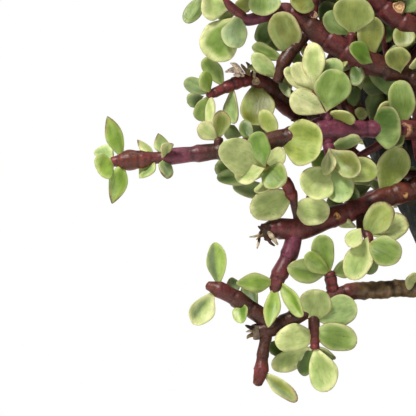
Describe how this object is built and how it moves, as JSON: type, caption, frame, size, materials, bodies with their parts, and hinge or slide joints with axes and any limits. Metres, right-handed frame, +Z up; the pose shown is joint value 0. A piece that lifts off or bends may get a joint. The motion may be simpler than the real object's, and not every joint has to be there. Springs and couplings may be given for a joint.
{
  "type": "variegated jade bonsai",
  "caption": "Small leaning bonsai tree with thick cream-edged leaves on purple shoots, in a plain oval footed pot.",
  "frame": {"origin": "under the middle of the whole tree's box, on the surface that the pot's feet stand on", "axes": "+Z up, -Y towards the viewer of the front, +X to the viewer's right"},
  "size_m": [0.3452, 0.3011, 0.419],
  "materials": {
    "stoneware": "unglazed stoneware, matte",
    "soil": "loose grit",
    "bark": "rough bark, smooth purple on young shoots",
    "leaf": "waxy leaf, soft gloss"
  },
  "bodies": {
    "root": {"pot": "stoneware", "soil": "soil", "trunk": "bark", "limb_left": "leaf", "limb_front": "leaf", "limb_back_left": "leaf", "limb_upper": "leaf", "limb_top": "leaf", "limb_low": "leaf", "crown_01": "leaf", "crown_02": "leaf", "crown_03": "leaf", "crown_04": "leaf", "crown_05": "leaf", "crown_06": "leaf", "crown_07": "leaf", "crown_08": "leaf", "crown_09": "leaf", "crown_10": "leaf", "crown_11": "leaf", "crown_12": "leaf", "crown_13": "leaf", "crown_14": "leaf"}
  },
  "joints": []
}
